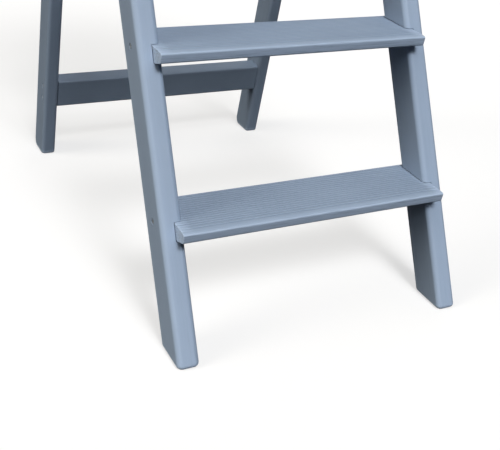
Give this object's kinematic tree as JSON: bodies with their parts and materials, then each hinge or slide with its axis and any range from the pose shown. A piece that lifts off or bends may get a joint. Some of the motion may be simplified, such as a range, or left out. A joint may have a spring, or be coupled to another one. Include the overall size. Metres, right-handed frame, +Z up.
{
  "type": "folding step ladder",
  "caption": "Painted wooden folding step ladder: reeded treads housed in leaning stiles, top board, railed rear frame on strap hinges, steel hook stays.",
  "frame": {"origin": "middle of the open ladder's footprint, on the floor", "axes": "+Z up, +X the climber's right, -Y the side that the climber stands on"},
  "size_m": [0.552, 0.9148, 1.21],
  "materials": {
    "painted_wood": "grey-blue oil paint, satin, worn thin at the tread ends and feet",
    "zinc_steel": "zinc plated"
  },
  "bodies": {
    "front_frame": {"left_hinge_pin": "zinc_steel", "left_hinge_upper_leaf": "zinc_steel", "left_hinge_upper_screw_1": "zinc_steel", "left_hinge_upper_screw_2": "zinc_steel", "left_hook_stud": "zinc_steel", "left_stile": "painted_wood", "right_hinge_pin": "zinc_steel", "right_hinge_upper_leaf": "zinc_steel", "right_hinge_upper_screw_1": "zinc_steel", "right_hinge_upper_screw_2": "zinc_steel", "right_hook_stud": "zinc_steel", "right_stile": "painted_wood", "top_batten": "painted_wood", "top_board": "painted_wood", "top_board_left_back_screw": "zinc_steel", "top_board_left_front_screw": "zinc_steel", "top_board_right_back_screw": "zinc_steel", "top_board_right_front_screw": "zinc_steel", "tread_1": "painted_wood", "tread_1_left_screw": "zinc_steel", "tread_1_right_screw": "zinc_steel", "tread_2": "painted_wood", "tread_2_left_screw": "zinc_steel", "tread_2_right_screw": "zinc_steel", "tread_3": "painted_wood", "tread_3_left_screw": "zinc_steel", "tread_3_right_screw": "zinc_steel", "tread_4": "painted_wood", "tread_4_left_screw": "zinc_steel", "tread_4_right_screw": "zinc_steel"},
    "rear_frame": {"bottom_rail_left_lower_screw": "zinc_steel", "bottom_rail_left_upper_screw": "zinc_steel", "bottom_rail_right_lower_screw": "zinc_steel", "bottom_rail_right_upper_screw": "zinc_steel", "bottom_rear_rail": "painted_wood", "left_hinge_lower_leaf": "zinc_steel", "left_hinge_lower_screw_1": "zinc_steel", "left_hinge_lower_screw_2": "zinc_steel", "left_hook_pivot_screw": "zinc_steel", "left_hook_washer": "zinc_steel", "left_rear_leg": "painted_wood", "middle_rail_left_lower_screw": "zinc_steel", "middle_rail_left_upper_screw": "zinc_steel", "middle_rail_right_lower_screw": "zinc_steel", "middle_rail_right_upper_screw": "zinc_steel", "middle_rear_rail": "painted_wood", "right_hinge_lower_leaf": "zinc_steel", "right_hinge_lower_screw_1": "zinc_steel", "right_hinge_lower_screw_2": "zinc_steel", "right_hook_pivot_screw": "zinc_steel", "right_hook_washer": "zinc_steel", "right_rear_leg": "painted_wood", "top_rail_left_lower_screw": "zinc_steel", "top_rail_left_upper_screw": "zinc_steel", "top_rail_right_lower_screw": "zinc_steel", "top_rail_right_upper_screw": "zinc_steel", "top_rear_rail": "painted_wood"},
    "left_hook_stay": {"left_hook": "zinc_steel"},
    "right_hook_stay": {"right_hook": "zinc_steel"}
  },
  "joints": [
    {"name": "fold", "type": "hinge", "parent": "front_frame", "child": "rear_frame", "pos_m": [0, 0.14217, 1.05177], "axis": [-1, 0, 0], "range_deg": [0, 39]},
    {"name": "left_hook_lift", "type": "hinge", "parent": "rear_frame", "child": "left_hook_stay", "pos_m": [-0.2687, 0.24237, 0.8], "axis": [-1, 0, 0], "range_deg": [0, 270]},
    {"name": "right_hook_lift", "type": "hinge", "parent": "rear_frame", "child": "right_hook_stay", "pos_m": [0.2687, 0.24237, 0.8], "axis": [-1, 0, 0], "range_deg": [0, 270]}
  ]
}
